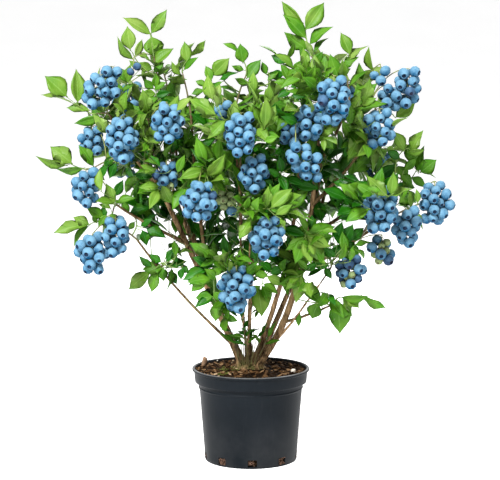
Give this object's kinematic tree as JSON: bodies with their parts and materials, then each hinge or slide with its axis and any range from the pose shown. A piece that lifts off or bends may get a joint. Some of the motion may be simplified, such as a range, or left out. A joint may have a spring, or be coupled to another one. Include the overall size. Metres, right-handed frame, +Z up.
{
  "type": "blueberry bush in a pot",
  "caption": "Fruiting highbush blueberry in a round black nursery pot: bare arching canes fan out to an open crown of pointed leaves and hanging clusters of blue berries.",
  "frame": {"origin": "centre of the pot's flat underside, where the potted bush stands", "axes": "+Z up; -Y towards the side that the bush is looked at from; +X to that viewer's right, along the crown's wider way"},
  "size_m": [0.6089, 0.3544, 0.6572],
  "materials": {
    "pot_plastic": "dull moulded black plastic with a faint sheen",
    "potting_mix": "rough damp compost with bark chips",
    "bark": "thin grey-brown bark, greener on young shoots",
    "foliage": "smooth green leaves with a soft sheen, and blue berries with a pale bloom"
  },
  "bodies": {
    "root": {"pot": "pot_plastic", "potting_mix": "potting_mix", "root_crown": "bark", "cane_left": "bark", "cane_right": "bark", "cane_right_inner": "bark", "cane_centre": "bark", "cane_front": "bark", "cane_back_left": "bark", "cane_back_right": "bark", "cane_back": "bark", "cane_right_thin": "bark", "bough_left_second": "bark", "bough_left_third": "bark", "bough_left_brow": "bark", "bough_left_flank": "bark", "bough_left_low": "bark", "bough_right_brow": "bark", "bough_right_shoulder": "bark", "bough_right_flank": "bark", "bough_right_outer": "bark", "bough_right_foot": "bark", "bough_centre_front": "bark", "bough_back_left_high": "bark", "bough_back_right_high": "bark", "foliage_left_brow": "foliage", "foliage_left_shoulder": "foliage", "foliage_left_breast": "foliage", "foliage_left_flank": "foliage", "foliage_left_low": "foliage", "foliage_left_foot": "foliage", "foliage_left_heel": "foliage", "foliage_left_heart": "foliage", "foliage_left_crest": "foliage", "foliage_left_crest_inner": "foliage", "foliage_centre_left_front": "foliage", "foliage_centre_crest": "foliage", "foliage_centre_high_front": "foliage", "foliage_centre_front": "foliage", "foliage_centre_low_front": "foliage", "foliage_centre_foot": "foliage", "foliage_right_crest": "foliage", "foliage_right_crest_front": "foliage", "foliage_right_breast": "foliage", "foliage_right_brow": "foliage", "foliage_right_shoulder": "foliage", "foliage_right_upper_front": "foliage", "foliage_right_flank": "foliage", "foliage_right_front": "foliage", "foliage_right_outer": "foliage", "foliage_right_low": "foliage", "foliage_right_low_front": "foliage", "foliage_right_foot": "foliage", "foliage_back_left_high": "foliage", "foliage_back_left": "foliage", "foliage_back_centre_high": "foliage", "foliage_back_centre": "foliage", "foliage_back_right_high": "foliage", "foliage_back_right": "foliage"}
  },
  "joints": []
}
